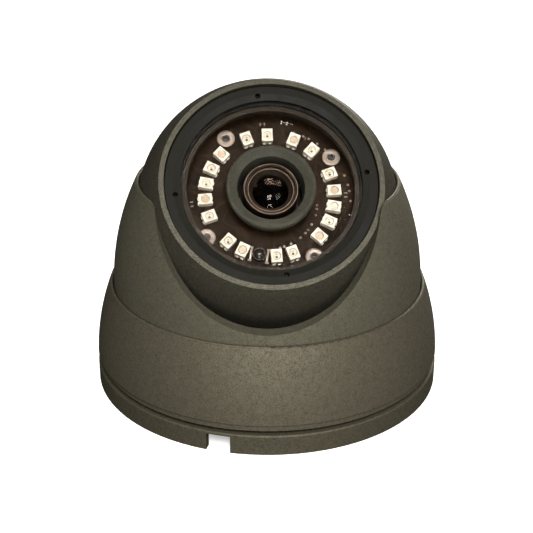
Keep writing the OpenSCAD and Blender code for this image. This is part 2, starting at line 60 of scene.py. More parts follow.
class Graph:
    """A shader node tree being filled, for a material, a group or the world."""

    def __init__(self, tree: bpy.types.NodeTree) -> None:
        """Keep the tree and empty it.

        Args:
            tree: the node tree to fill.
        """
        self.tree = tree
        tree.nodes.clear()

    def node(self, kind: str, inputs: dict | None = None, **settings: object) -> bpy.types.Node:
        """Add a node.

        Args:
            kind: the node's type, such as ShaderNodeMath.
            inputs: values or output sockets for its inputs, by name or number.
            **settings: the node's own settings, such as operation.

        Returns:
            The new node.
        """
        made = self.tree.nodes.new(kind)
        for name, value in settings.items():
            setattr(made, name, value)
        for key, value in (inputs or {}).items():
            self.feed(made.inputs[key], value)
        return made

    def feed(self, socket: bpy.types.NodeSocket, value: object) -> None:
        """Link an output socket to an input, or set the input to a plain value.

        Args:
            socket: the input.
            value: an output socket, a number, a vector or a colour.
        """
        if isinstance(value, bpy.types.NodeSocket):
            self.tree.links.new(value, socket)
        elif socket.type == "RGBA":
            socket.default_value = (*value[:3], 1.0)
        else:
            socket.default_value = value

    def math(self, operation: str, *values: object, clamp: bool = False) -> bpy.types.NodeSocket:
        """Return the result socket of a Math node.

        Args:
            operation: the Math operation.
            *values: its numbers or sockets, in order.
            clamp: keep the result within 0 and 1.
        """
        made = self.node("ShaderNodeMath", dict(enumerate(values)), operation=operation, use_clamp=clamp)
        return made.outputs[0]

    def mix(self, factor: object, low: object, high: object, blend: str = "MIX") -> bpy.types.NodeSocket:
        """Return the result socket of a colour Mix node.

        Args:
            factor: how much of high is taken.
            low: the first colour.
            high: the second colour.
            blend: the blend type.
        """
        made = self.node("ShaderNodeMix", data_type="RGBA", blend_type=blend)
        self.feed(made.inputs["Factor"], factor)
        self.feed(made.inputs[6], low)
        self.feed(made.inputs[7], high)
        return made.outputs[2]

    def ramp(
        self, value: object, low: float, high: float, start: float = 0.0, end: float = 1.0
    ) -> bpy.types.NodeSocket:
        """Return a value mapped from one range to another, and held within it.

        Args:
            value: the socket to map.
            low: the value that gives start.
            high: the value that gives end.
            start: the result at low.
            end: the result at high.
        """
        keys = {"Value": value, "From Min": low, "From Max": high, "To Min": start, "To Max": end}
        return self.node("ShaderNodeMapRange", keys, clamp=True).outputs[0]

    def noise(self, vector: object, scale: object, detail: float = 2.0, rough: float = 0.5) -> object:
        """Return the value socket of a Noise texture.

        Args:
            vector: the coordinates.
            scale: the pattern's scale, in cells a metre.
            detail: octaves.
            rough: strength of the fine octaves.
        """
        keys = {"Vector": vector, "Scale": scale, "Detail": detail, "Roughness": rough}
        return self.node("ShaderNodeTexNoise", keys).outputs[0]

    def bump(self, height: object, strength: float, distance: float, normal: object = None) -> object:
        """Return the normal socket of a Bump node.

        Args:
            height: the height socket.
            strength: how strongly it shows.
            distance: the height of 1, in metres.
            normal: a normal to add to.
        """
        keys = {"Height": height, "Strength": strength, "Distance": distance}
        made = self.node("ShaderNodeBump", keys)
        if normal is not None:
            self.feed(made.inputs["Normal"], normal)
        return made.outputs[0]


class Effect:
    """A shader node group that several finishes share, made the first time it is asked for."""

    def __init__(
        self,
        name: str,
        inputs: dict[str, float],
        outputs: Sequence[str],
        fill: Callable[[Graph, bpy.types.Node, bpy.types.Node], None],
    ) -> None:
        """Describe the group.

        Args:
            name: the group's name.
            inputs: its number inputs and their defaults. It always has a Vector input too.
            outputs: the names of its value outputs.
            fill: makes the nodes between the group's input and output nodes.
        """
        self.name = name
        self.inputs = inputs
        self.outputs = outputs
        self.fill = fill

    def tree(self) -> bpy.types.NodeTree:
        """Return the group's node tree."""
        found = bpy.data.node_groups.get(self.name)
        if found:
            return found
        tree = bpy.data.node_groups.new(self.name, "ShaderNodeTree")
        tree.interface.new_socket("Vector", in_out="INPUT", socket_type="NodeSocketVector")
        for name, value in self.inputs.items():
            socket = tree.interface.new_socket(name, in_out="INPUT", socket_type="NodeSocketFloat")
            socket.default_value = value
        for name in self.outputs:
            tree.interface.new_socket(name, in_out="OUTPUT", socket_type="NodeSocketFloat")
        graph = Graph(tree)
        self.fill(graph, graph.node("NodeGroupInput"), graph.node("NodeGroupOutput"))
        return tree

    def use(self, graph: Graph, vector: object, **values: float) -> bpy.types.NodeOutputs:
        """Place the group in a material.

        Args:
            graph: the material's graph.
            vector: the coordinates.
            **values: its number inputs, with underscores for spaces.

        Returns:
            The placed group's outputs.
        """
        made = graph.node("ShaderNodeGroup", node_tree=self.tree())
        graph.feed(made.inputs["Vector"], vector)
        for name, value in values.items():
            made.inputs[name.replace("_", " ")].default_value = value
        return made.outputs


def fill_grain(graph: Graph, given: bpy.types.Node, result: bpy.types.Node) -> None:
    """Fill the grain group: sprayed texture paint, as fine lumps with darker pits between them.

    Args:
        graph: the group's graph.
        given: its input node.
        result: its output node.
    """
    vector, scale = given.outputs["Vector"], given.outputs["Scale"]
    cells = graph.node("ShaderNodeTexVoronoi", {"Vector": vector, "Scale": scale}, feature="SMOOTH_F1")
    lumps = graph.ramp(cells.outputs["Distance"], 0.05, 0.75, 1.0, 0.0)
    fine = graph.noise(vector, graph.math("MULTIPLY", scale, 1.7), 3.0, 0.65)
    broad = graph.noise(vector, graph.math("MULTIPLY", scale, 0.25), 2.0, 0.5)
    height = graph.math("ADD", graph.math("MULTIPLY", lumps, 0.6), graph.math("MULTIPLY", fine, 0.4))
    speckle = graph.math("MULTIPLY_ADD", broad, 0.35, graph.math("MULTIPLY", height, 0.65))
    graph.feed(result.inputs["Height"], height)
    graph.feed(result.inputs["Speckle"], graph.ramp(speckle, 0.28, 0.72))


def fill_mottle(graph: Graph, given: bpy.types.Node, result: bpy.types.Node) -> None:
    """Fill the mottle group: broad uneven patches from handling and moulding.

    Args:
        graph: the group's graph.
        given: its input node.
        result: its output node.
    """
    vector, scale = given.outputs["Vector"], given.outputs["Scale"]
    broad = graph.noise(vector, scale, 4.0, 0.6)
    streak = graph.node("ShaderNodeMapping", {"Vector": vector, "Scale": (1.0, 1.0, 0.25)}).outputs[0]
    drawn = graph.noise(streak, graph.math("MULTIPLY", scale, 5.0), 2.0, 0.5)
    value = graph.math("ADD", graph.math("MULTIPLY", broad, 0.7), graph.math("MULTIPLY", drawn, 0.3))
    graph.feed(result.inputs["Value"], graph.ramp(value, 0.32, 0.68))


def fill_dust(graph: Graph, given: bpy.types.Node, result: bpy.types.Node) -> None:
    """Fill the dust group: sparse pale specks and short lint.

    Args:
        graph: the group's graph.
        given: its input node.
        result: its output node.
    """
    vector, scale = given.outputs["Vector"], given.outputs["Scale"]
    cells = graph.node("ShaderNodeTexVoronoi", {"Vector": vector, "Scale": scale}, feature="F1")
    chance = graph.node("ShaderNodeSeparateColor", {"Color": cells.outputs["Color"]}).outputs[0]
    chosen = graph.math("LESS_THAN", chance, given.outputs["Share"])
    size = graph.math("MULTIPLY", chance, 0.6)
    near = graph.math("LESS_THAN", cells.outputs["Distance"], graph.math("ADD", size, 0.07))
    graph.feed(result.inputs["Mask"], graph.math("MULTIPLY", chosen, near))


def fill_brushed(graph: Graph, given: bpy.types.Node, result: bpy.types.Node) -> None:
    """Fill the brushed group: fine drawn or turned lines along Z.

    Args:
        graph: the group's graph.
        given: its input node.
        result: its output node.
    """
    vector, scale = given.outputs["Vector"], given.outputs["Scale"]
    flat = graph.node("ShaderNodeMapping", {"Vector": vector, "Scale": (0.06, 0.06, 1.0)}).outputs[0]
    lines = graph.noise(flat, scale, 3.0, 0.7)
    wear = graph.noise(vector, graph.math("MULTIPLY", scale, 0.08), 3.0, 0.6)
    graph.feed(result.inputs["Lines"], lines)
    graph.feed(result.inputs["Wear"], graph.ramp(wear, 0.35, 0.7))


GRAIN = Effect("paint_grain", {"Scale": 3000.0}, ("Height", "Speckle"), fill_grain)
MOTTLE = Effect("handling_mottle", {"Scale": 80.0}, ("Value",), fill_mottle)
DUST = Effect("dust_specks", {"Scale": 600.0, "Share": 0.02}, ("Mask",), fill_dust)
BRUSHED = Effect("turned_lines", {"Scale": 4000.0}, ("Lines", "Wear"), fill_brushed)


# ---------------------------------------------------------------- finishes


@dataclass(frozen=True)
class Finish:
    """What every finish has: a name and a base colour."""

    name: str
    colour: Colour

    def material(self) -> bpy.types.Material:
        """Return the finish's material, made on first use."""
        name = f"{self.name}_finish"
        found = bpy.data.materials.get(name)
        if found:
            return found
        made = bpy.data.materials.new(name)
        made.use_nodes = True
        made.diffuse_color = (*self.colour, 1.0)
        graph = Graph(made.node_tree)
        shader = graph.node("ShaderNodeBsdfPrincipled")
        output = graph.node("ShaderNodeOutputMaterial")
        graph.feed(output.inputs["Surface"], shader.outputs["BSDF"])
        where = graph.node("ShaderNodeTexCoord").outputs["Object"]
        self.fill(graph, shader, where)
        return made

    def fill(self, graph: Graph, shader: bpy.types.Node, where: object) -> None:
        """Set the shader's sockets. Each kind of finish has its own.

        Args:
            graph: the material's graph.
            shader: its Principled BSDF.
            where: Object coordinates.
        """
        raise NotImplementedError


@dataclass(frozen=True)
class TexturePaint(Finish):
    """Sprayed fine-texture paint with metal flake in it, on cast metal."""

    light: Colour
    grain_scale: float = 3300.0
    relief: float = 0.00006
    roughness: float = 0.62
    metallic: float = 0.55
    dust_share: float = 0.012
    bore_shade_radius: float = 0.0
    bore_shade_colour: Colour = (0.012, 0.008, 0.004)

    def fill(self, graph: Graph, shader: bpy.types.Node, where: object) -> None:
        """Set the paint's colour speckle, sheen and relief.

        Args:
            graph: the material's graph.
            shader: its Principled BSDF.
            where: Object coordinates.
        """
        grain = GRAIN.use(graph, where, Scale=self.grain_scale)
        mottle = MOTTLE.use(graph, where, Scale=55.0)
        dust = DUST.use(graph, where, Scale=900.0, Share=self.dust_share)
        body = graph.mix(grain["Speckle"], self.colour, self.light)
        worn = graph.mix(graph.math("MULTIPLY", mottle["Value"], 0.07), body, self.light)
        pale = graph.mix(graph.math("MULTIPLY", dust["Mask"], 0.25), worn, (0.42, 0.40, 0.35))
        # Inside the window's bore the paint turns near-black: painted shade in the recess behind the glass.
        if self.bore_shade_radius > 0.0:
            pale = graph.mix(self.painted_bore_shade(graph, where), pale, self.bore_shade_colour)
        graph.feed(shader.inputs["Base Color"], pale)
        rough = graph.ramp(grain["Speckle"], 0.0, 1.0, self.roughness + 0.10, self.roughness - 0.06)
        graph.feed(shader.inputs["Roughness"], rough)
        graph.feed(shader.inputs["Normal"], graph.bump(grain["Height"], 0.85, self.relief))
        shader.inputs["Metallic"].default_value = self.metallic
        shader.inputs["Specular IOR Level"].default_value = 0.3

    def painted_bore_shade(self, graph: Graph, where: object) -> bpy.types.NodeSocket:
        """Return 1 inside the window's bore, where the paint is darkened as painted shade, and 0 outside it.

        Args:
            graph: the material's graph.
            where: Object coordinates.
        """
        face = face_matrix()
        from_centre = {0: where, 1: face.translation}
        out = graph.node("ShaderNodeVectorMath", from_centre, operation="SUBTRACT").outputs[0]
        axis = face.to_3x3() @ Vector((0, 0, 1))
        with_axis = {0: out, 1: axis}
        across = graph.node("ShaderNodeVectorMath", with_axis, operation="CROSS_PRODUCT").outputs[0]
        radius = graph.node("ShaderNodeVectorMath", {0: across}, operation="LENGTH").outputs["Value"]
        return graph.ramp(radius, self.bore_shade_radius - 0.0001, self.bore_shade_radius, 1.0, 0.0)


@dataclass(frozen=True)
class Moulded(Finish):
    """Moulded plastic, rubber or foam with its own pore size."""

    light: Colour
    pore_scale: float = 2500.0
    relief: float = 0.00003
    roughness: float = 0.6
    specular: float = 0.4
    dust_share: float = 0.02

    def fill(self, graph: Graph, shader: bpy.types.Node, where: object) -> None:
        """Set the moulding's colour variation, sheen and pores.

        Args:
            graph: the material's graph.
            shader: its Principled BSDF.
            where: Object coordinates.
        """
        grain = GRAIN.use(graph, where, Scale=self.pore_scale)
        mottle = MOTTLE.use(graph, where, Scale=130.0)
        dust = DUST.use(graph, where, Scale=1400.0, Share=self.dust_share)
        broad = graph.math("MULTIPLY", mottle["Value"], 0.4)
        blend = graph.math("MULTIPLY_ADD", grain["Speckle"], 0.5, broad)
        body = graph.mix(blend, self.colour, self.light)
        pale = graph.mix(graph.math("MULTIPLY", dust["Mask"], 0.5), body, (0.30, 0.29, 0.25))
        graph.feed(shader.inputs["Base Color"], pale)
        graph.feed(
            shader.inputs["Roughness"],
            graph.ramp(mottle["Value"], 0.0, 1.0, self.roughness - 0.07, self.roughness + 0.1),
        )
        graph.feed(shader.inputs["Normal"], graph.bump(grain["Height"], 0.6, self.relief))
        shader.inputs["Specular IOR Level"].default_value = self.specular


@dataclass(frozen=True)
class Metal(Finish):
    """Bare or plated metal with turned lines."""

    worn: Colour
    metallic: float = 1.0
    roughness: float = 0.32
    line_scale: float = 5000.0
    relief: float = 0.00001

    def fill(self, graph: Graph, shader: bpy.types.Node, where: object) -> None:
        """Set the metal's tone, sheen and turned lines.

        Args:
            graph: the material's graph.
            shader: its Principled BSDF.
            where: Object coordinates.
        """
        lines = BRUSHED.use(graph, where, Scale=self.line_scale)
        graph.feed(shader.inputs["Base Color"], graph.mix(lines["Wear"], self.colour, self.worn))
        graph.feed(
            shader.inputs["Roughness"],
            graph.ramp(lines["Lines"], 0.2, 0.8, self.roughness - 0.08, self.roughness + 0.14),
        )
        graph.feed(shader.inputs["Normal"], graph.bump(lines["Lines"], 0.4, self.relief))
        shader.inputs["Metallic"].default_value = self.metallic


@dataclass(frozen=True)
class SolderMask(Finish):
    """Solder mask over copper, with the tracks showing faintly through it."""

    track: Colour
    roughness: float = 0.42
    specular: float = 0.35

    def fill(self, graph: Graph, shader: bpy.types.Node, where: object) -> None:
        """Set the mask's colour, the copper areas under it and its gloss.

        Args:
            graph: the material's graph.
            shader: its Principled BSDF.
            where: Object coordinates.
        """
        zones = graph.node(
            "ShaderNodeTexVoronoi", {"Vector": where, "Scale": 170.0}, feature="DISTANCE_TO_EDGE"
        ).outputs["Distance"]
        gap = graph.ramp(zones, 0.02, 0.05, 1.0, 0.0)
        weave = graph.noise(where, 1500.0, 2.0, 0.6)
        patch = graph.noise(where, 130.0, 2.0, 0.5)
        fine = graph.math("MULTIPLY", weave, 0.3)
        tone = graph.math("MULTIPLY_ADD", graph.ramp(patch, 0.35, 0.65), 0.35, fine)
        body = graph.mix(tone, self.colour, self.track)
        lined = graph.mix(graph.math("MULTIPLY", gap, 0.55), body, self.track)
        dust = DUST.use(graph, where, Scale=900.0, Share=0.05)
        graph.feed(
            shader.inputs["Base Color"],
            graph.mix(graph.math("MULTIPLY", dust["Mask"], 0.4), lined, (0.45, 0.38, 0.30)),
        )
        rough = graph.ramp(weave, 0.3, 0.7, self.roughness, self.roughness + 0.15)
        graph.feed(shader.inputs["Roughness"], rough)
        height = graph.math("ADD", graph.math("MULTIPLY", gap, -1.0), graph.math("MULTIPLY", weave, 0.3))
        graph.feed(shader.inputs["Normal"], graph.bump(height, 0.5, 0.00003))
        shader.inputs["Specular IOR Level"].default_value = self.specular


@dataclass(frozen=True)
class ClearGlass(Finish):
    """Glass with a little dust on it."""

    ior: float = 1.45
    roughness: float = 0.02
    dust_share: float = 0.015
    transmission: float = 1.0
    lets_light_in: bool = False

    def fill(self, graph: Graph, shader: bpy.types.Node, where: object) -> None:
        """Set the glass's clearness and its dust.

        Args:
            graph: the material's graph.
            shader: its Principled BSDF.
            where: Object coordinates.
        """
        dust = DUST.use(graph, where, Scale=700.0, Share=self.dust_share)
        smear = MOTTLE.use(graph, where, Scale=60.0)
        graph.feed(
            shader.inputs["Base Color"],
            graph.mix(graph.math("MULTIPLY", dust["Mask"], 0.3), self.colour, (0.75, 0.72, 0.66)),
        )
        graph.feed(
            shader.inputs["Roughness"],
            graph.ramp(smear["Value"], 0.2, 1.0, self.roughness, self.roughness + 0.025),
        )
        shader.inputs["Transmission Weight"].default_value = self.transmission
        shader.inputs["IOR"].default_value = self.ior
        if self.lets_light_in:
            self.open_to_light(graph, shader)

    def open_to_light(self, graph: Graph, shader: bpy.types.Node) -> None:
        """Let the lights shine straight through the glass on what stands behind it.

        Args:
            graph: the material's graph.
            shader: its Principled BSDF.
        """
        output = shader.outputs["BSDF"].links[0].to_node
        clear = graph.node("ShaderNodeBsdfTransparent", {"Color": self.colour})
        shadow = graph.node("ShaderNodeLightPath").outputs["Is Shadow Ray"]
        parts = {0: shadow, 1: shader.outputs["BSDF"], 2: clear.outputs[0]}
        mixed = graph.node("ShaderNodeMixShader", parts)
        graph.feed(output.inputs["Surface"], mixed.outputs[0])


def face_matrix() -> Matrix:
    """Return the lens's frame, read from the record's tilt joint and cable gland.

    Its origin is the ball's centre, +Z the way the lens looks and +X the tilt axis.
    """
    tilt = next(j for j in frame["joints"] if j["name"] == "tilt")
    gland = next(m for m in frame["record"]["mounts"] if m["name"] == "cable_gland")
    look = -Vector(gland["axis"]).normalized()
    across = Vector(tilt["axis"])
    across = (across - look * across.dot(look)).normalized()
    turn = Matrix((across, look.cross(across), look)).transposed().to_4x4()
    return Matrix.Translation(Vector(tilt["pos_m"])) @ turn


BASE_PAINT = TexturePaint("base_paint", (0.064, 0.058, 0.038), (0.137, 0.126, 0.090))
TRIM_PAINT = TexturePaint("trim_paint", (0.080, 0.072, 0.050), (0.168, 0.152, 0.112))
SHELL_PAINT = TexturePaint("shell_paint", (0.090, 0.085, 0.060), (0.190, 0.179, 0.132))
# The ball's paint turns near-black inside the window's bore: painted shade.
BALL_PAINT = TexturePaint(
    "ball_paint", (0.048, 0.045, 0.033), (0.108, 0.102, 0.076), roughness=0.5, bore_shade_radius=0.0262
)
NYLON_WHITE = Moulded("white_nylon", (0.62, 0.60, 0.55), (0.75, 0.73, 0.68))
NYLON_BLACK = Moulded("black_nylon", (0.02, 0.02, 0.02), (0.05, 0.05, 0.048))
RUBBER = Moulded(
    "black_rubber", (0.006, 0.006, 0.005), (0.016, 0.015, 0.013), roughness=0.8, specular=0.12
)
FOAM = Moulded(
    "baffle_foam",
    (0.013, 0.0125, 0.009),
    (0.036, 0.034, 0.025),
    pore_scale=1900.0,
    relief=0.00011,
    roughness=0.85,
    specular=0.2,
    dust_share=0.05,
)
SCREW_STEEL = Metal("screw_steel", (0.55, 0.55, 0.56), (0.40, 0.39, 0.38))
BLACK_SCREW = Metal(
    "black_screw", (0.010, 0.007, 0.005), (0.026, 0.019, 0.013), metallic=0.4, roughness=0.45
)
RING_BLACK = Moulded(
    "black_anodised",
    (0.005, 0.005, 0.0035),
    (0.014, 0.014, 0.010),
    pore_scale=4200.0,
    relief=0.00002,
    roughness=0.6,
    specular=0.16,
    dust_share=0.012,
)
WINDOW = ClearGlass("window_glass", (0.98, 0.985, 0.98), ior=1.06, roughness=0.0, lets_light_in=True)
LENS_GLASS = ClearGlass("lens_glass", (0.42, 0.30, 0.24), ior=1.3, dust_share=0.0)
FILTER_GLASS = ClearGlass("filter_glass", (0.60, 0.25, 0.22), ior=1.4, dust_share=0.0)
MASK_BROWN = SolderMask(
    "led_board_mask", (0.0040, 0.0018, 0.0005), (0.018, 0.0095, 0.0040), specular=0.05
)
BOARD_GREEN = SolderMask("board_green", (0.008, 0.050, 0.020), (0.030, 0.130, 0.060))
LED_CERAMIC = Moulded(
    "led_ceramic",
    (0.42, 0.37, 0.29),
    (0.62, 0.57, 0.48),
    pore_scale=5000.0,
    relief=0.00001,
    roughness=0.5,
    dust_share=0.0,
)
PHOTOCELL = Moulded(
    "photocell_resin", (0.006, 0.004, 0.003), (0.018, 0.013, 0.010), roughness=0.3, specular=0.4
)
LENS_BLACK = Moulded(
    "lens_black", (0.0045, 0.0026, 0.0012), (0.012, 0.0075, 0.0040), pore_scale=5200.0, relief=0.00001,
    roughness=0.6, specular=0.10, dust_share=0.006,
)
HOLDER = Moulded("holder_plastic", (0.015, 0.015, 0.015), (0.035, 0.035, 0.035))
SENSOR = Moulded("sensor_chip", (0.03, 0.02, 0.02), (0.07, 0.05, 0.05), roughness=0.3, specular=0.5)
BRASS = Metal("standoff_brass", (0.72, 0.50, 0.18), (0.50, 0.33, 0.12))
CONNECTOR = Moulded("connector_plastic", (0.66, 0.62, 0.50), (0.80, 0.77, 0.66))
TINNED = Metal("tinned_pad", (0.25, 0.20, 0.165), (0.16, 0.125, 0.105), metallic=0.55, roughness=0.45)
SILK = Moulded("silk_white", (0.72, 0.70, 0.64), (0.86, 0.84, 0.78), roughness=0.6, dust_share=0.0)
DIE = Moulded("led_die", (0.02, 0.014, 0.010), (0.06, 0.045, 0.032), roughness=0.3, dust_share=0.0)
RESIN = Moulded(
    "led_resin",
    (0.36, 0.31, 0.25),
    (0.52, 0.47, 0.40),
    pore_scale=6000.0,
    relief=0.000005,
    roughness=0.22,
    specular=0.6,
    dust_share=0.0,
)
RESIN_BEIGE = Moulded(
    "led_resin_beige",
    (0.28, 0.21, 0.15),
    (0.40, 0.31, 0.235),
    pore_scale=6000.0,
    relief=0.000005,
    roughness=0.25,
    specular=0.6,
    dust_share=0.0,
)

LED_LEAD = Metal("led_lead", (0.86, 0.80, 0.70), (0.62, 0.56, 0.48), metallic=0.7, roughness=0.3)
LED_SEAM = Moulded("led_seam", (0.16, 0.13, 0.10), (0.30, 0.25, 0.20), roughness=0.6, dust_share=0.0)

# Lighter metal tone for thin rings on the lens's edges: a painted edge highlight.
LENS_EDGE_HIGHLIGHT = Metal("lens_edge_highlight", (0.16, 0.10, 0.065), (0.09, 0.055, 0.035), metallic=0.6, roughness=0.35)

NODE_FINISHES: dict[str, Finish] = {
    "base_plate": BASE_PAINT,
    "trim_ring": TRIM_PAINT,
    "shell": SHELL_PAINT,
    "glide_ring": NYLON_WHITE,
    "ball_seat": NYLON_BLACK,
    "friction_ring": RUBBER,
    "ball_front": BALL_PAINT,
    "ball_rear": BALL_PAINT,
    "ball_seal": RUBBER,
    "joint_screws": SCREW_STEEL,
    "retaining_ring": RING_BLACK,
    "window_glass": WINDOW,
    "window_gasket": RUBBER,
    "lens_foam": FOAM,
    "led_board": MASK_BROWN,
    "led_packages": LED_CERAMIC,
    "photocell": PHOTOCELL,
    "pad_screws": BLACK_SCREW,
    "clamp_screws": SCREW_STEEL,
    "lens_barrel": LENS_BLACK,
    "lens_front_ring": LENS_BLACK,
    "lens_front_element": LENS_GLASS,
    "lens_rear_element": LENS_GLASS,
    "lens_lock_ring": LENS_BLACK,
    "lens_holder": HOLDER,
    "ir_filter": FILTER_GLASS,
    "image_sensor": SENSOR,
    "sensor_board": BOARD_GREEN,
    "main_board": BOARD_GREEN,
    "long_standoffs": BRASS,
    "short_standoffs": BRASS,
    "stack_screws": SCREW_STEEL,
    "board_connectors": CONNECTOR,
    "cable_grommet": RUBBER,
}


def dress_nodes() -> None:
    """Give every CAD node its finish."""
    for name, finish in NODE_FINISHES.items():
        node = frame["nodes"][name]
        node.material_slots[0].material = finish.material()
        LOG.info("node %s dressed in %s", name, finish.name)


# ---------------------------------------------------------------- mesh helpers


def board_matrix() -> Matrix:
    """Return the boards' frame: the lens's frame, turned about the lens's axis."""
    return face_matrix() @ Matrix.Rotation(math.radians(BOARD_TURN), 4, "Z")


def polar(radius: float, angle: float, height: float = 0.0) -> Vector:
    """Return the point at a radius and an angle in degrees.

    Args:
        radius: distance from the axis.
        angle: degrees from +X.
        height: distance along the axis.
    """
    turn = math.radians(angle)
    return Vector((radius * math.cos(turn), radius * math.sin(turn), height))


def turned(angle: float, step: Point) -> Vector:
    """Return a step turned about the local axis.

    Args:
        angle: degrees it is turned.
        step: the step before the turn.
    """
    return Matrix.Rotation(math.radians(angle), 3, "Z") @ Vector(step)


class Shape:
    """A mesh being modelled in millimetres in one sub-assembly's own frame."""

    def __init__(self) -> None:
        """Start with nothing."""
        self.mesh = bmesh.new()

    def ring(
        self,
        section: Sequence[tuple[float, float]],
        at: Vector | None = None,
        start: float = 0.0,
        sweep: float = 360.0,
        steps: int = 64,
    ) -> "Shape":
        """Turn a closed section of (radius, height) points round the local axis.

        Args:
            section: the section's points, in order.
            at: where the axis stands.
            start: the first angle, in degrees.
            sweep: how far it turns, in degrees.
            steps: how many steps the turn has.

        Returns:
            This shape.
        """
        before = set(self.mesh.verts)
        verts = [self.mesh.verts.new((r, 0, h)) for r, h in section]
        face = self.mesh.faces.new(verts)
        bmesh.ops.rotate(self.mesh, verts=verts, matrix=Matrix.Rotation(math.radians(start), 3, "Z"))
        full = sweep >= 360.0
        geometry = [*face.edges, *verts]
        if full:
            bmesh.ops.delete(self.mesh, geom=[face], context="FACES_ONLY")
        else:
            geometry.insert(0, face)
        bmesh.ops.spin(
            self.mesh,
            geom=geometry,
            cent=(0, 0, 0),
            axis=(0, 0, 1),
            angle=math.radians(sweep),
            steps=steps,
            use_merge=full,
        )
        made = [v for v in self.mesh.verts if v not in before]
        if at is not None:
            bmesh.ops.translate(self.mesh, verts=made, vec=at)
        return self

    def block(
        self, size: Point, at: Vector, turn: float = 0.0, bevel: float = 0.0, segments: int = 1
    ) -> "Shape":
        """Add a block with its edges bevelled.

        Args:
            size: width, depth and height.
            at: its centre.
            turn: degrees about the local axis.
            bevel: width of the bevel.
            segments: steps in the bevel.

        Returns:
            This shape.
        """
        standing = Matrix.Translation(at) @ Matrix.Rotation(math.radians(turn), 4, "Z")
        matrix = standing @ Matrix.Diagonal((*size, 1))
        made = bmesh.ops.create_cube(self.mesh, size=1.0, matrix=matrix)["verts"]
        if bevel:
            edges = list({e for v in made for e in v.link_edges})
            bmesh.ops.bevel(
                self.mesh,
                geom=edges,
                offset=bevel,
                segments=segments,
                affect="EDGES",
                profile=0.5,
                material=-1,
            )
        return self

    def disc(self, radius: float, height: float, at: Vector, steps: int = 24) -> "Shape":
        """Add a short cylinder standing at a point.

        Args:
            radius: its radius.
            height: its height.
            at: the middle of its underside.
            steps: sides round it.

        Returns:
            This shape.
        """
        bmesh.ops.create_cone(
            self.mesh,
            cap_ends=True,
            segments=steps,
            radius1=radius,
            radius2=radius,
            depth=height,
            matrix=Matrix.Translation(at + Vector((0, 0, height / 2))),
        )
        return self

    def finish(
        self, name: str, place: Matrix, body: str, finish: Finish, slot: str, smooth: float = 40.0
    ) -> bpy.types.Object:
        """Make the shape an object of the scene, in metres and in the part's frame.

        Args:
            name: the piece's name.
            place: from the shape's frame to the part's.
            body: the CAD body it rides on.
            finish: its finish.
            slot: the record's material slot; not used.
            smooth: the sharpest angle that is shaded smooth, in degrees.

        Returns:
            The piece.
        """
        bmesh.ops.remove_doubles(self.mesh, verts=self.mesh.verts, dist=1e-5)
        bmesh.ops.transform(self.mesh, matrix=place @ Matrix.Scale(MM, 4), verts=self.mesh.verts)
        bmesh.ops.recalc_face_normals(self.mesh, faces=self.mesh.faces)
        data = bpy.data.meshes.new(name)
        self.mesh.to_mesh(data)
        self.mesh.free()
        data.shade_smooth()
        data.set_sharp_from_angle(angle=math.radians(smooth))
        data.materials.append(finish.material())
        made = bpy.data.objects.new(name, data)
        bpy.context.scene.collection.objects.link(made)
        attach(made, body)
        LOG.info("piece %s: %d faces", name, len(data.polygons))
        return made


# ---------------------------------------------------------------- the LED board


class LedKind(Enum):
    """The kinds of LED on the board."""

    DOTTED = "dotted"
    BEIGE = "beige"
    FAINT = "faint"


@dataclass(frozen=True)
class Arc:
    """A copper track that runs round the lens: its inner radius, first angle and sweep."""

    radius: float
    start: float
    sweep: float


@dataclass(frozen=True)
class Chip:
    """Where a chip resistor stands: its radius and angle on the board, and its own turn."""

    radius: float
    angle: float
    turn: float


@dataclass(frozen=True)
class Mark:
    """A generic printed mark near the board's edge: its angle and length."""

    angle: float
    length: float


